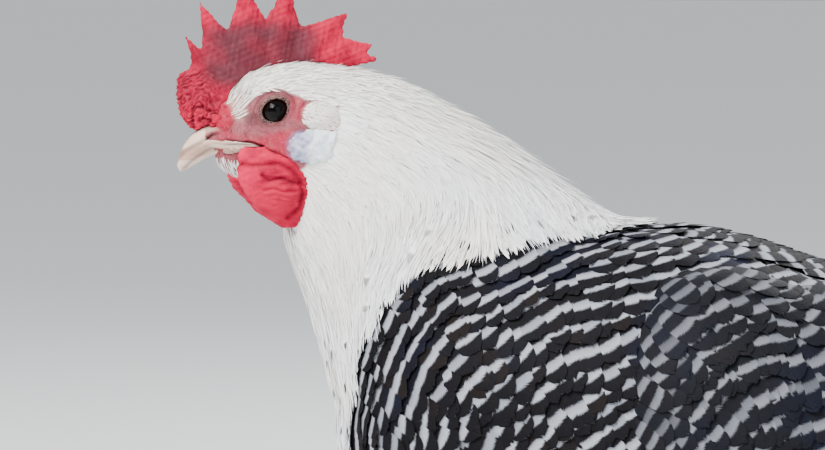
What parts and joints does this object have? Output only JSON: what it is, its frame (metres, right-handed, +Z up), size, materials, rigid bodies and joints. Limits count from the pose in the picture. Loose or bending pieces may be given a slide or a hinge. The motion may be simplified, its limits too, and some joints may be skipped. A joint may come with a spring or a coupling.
{
  "type": "white-necked barred chicken",
  "caption": "Life-size standing hen with a white feathered neck, barred body, upright saw-toothed comb, hanging wattles, folded wings and a fanned tail.",
  "frame": {"origin": "middle of the bird's length and width at the floor, under the body", "axes": "the bird faces -X, its left side is -Y, +Z is up"},
  "size_m": [0.4012, 0.1656, 0.387],
  "materials": {
    "white_plumage": "soft white feathers",
    "barred_plumage": "black feathers with narrow white bars and a faint green-blue sheen",
    "red_skin": "fine-grained red skin",
    "pink_face": "thin pink skin with fine white bristles",
    "white_lobe": "smooth white skin, bluish in front",
    "horn": "pale pinkish horn with grey streaks",
    "eye": "wet, almost black",
    "slate_leg": "slate-blue scaly skin"
  },
  "bodies": {
    "root": {"head": "pink_face", "neck": "white_plumage", "torso": "barred_plumage", "tail": "barred_plumage", "comb": "red_skin", "beak_upper": "horn", "beak_lower": "horn", "eye_left": "eye", "eye_right": "eye", "wattle_left": "red_skin", "wattle_right": "red_skin", "earlobe_left": "white_lobe", "earlobe_right": "white_lobe", "wing_left": "barred_plumage", "wing_right": "barred_plumage", "thigh_left": "barred_plumage", "thigh_right": "barred_plumage", "shank_left": "slate_leg", "shank_right": "slate_leg", "toe_left_hind": "slate_leg", "toe_left_inner": "slate_leg", "toe_left_middle": "slate_leg", "toe_left_outer": "slate_leg", "toe_right_hind": "slate_leg", "toe_right_inner": "slate_leg", "toe_right_middle": "slate_leg", "toe_right_outer": "slate_leg", "claw_left_hind": "horn", "claw_left_inner": "horn", "claw_left_middle": "horn", "claw_left_outer": "horn", "claw_right_hind": "horn", "claw_right_inner": "horn", "claw_right_middle": "horn", "claw_right_outer": "horn"}
  },
  "joints": []
}
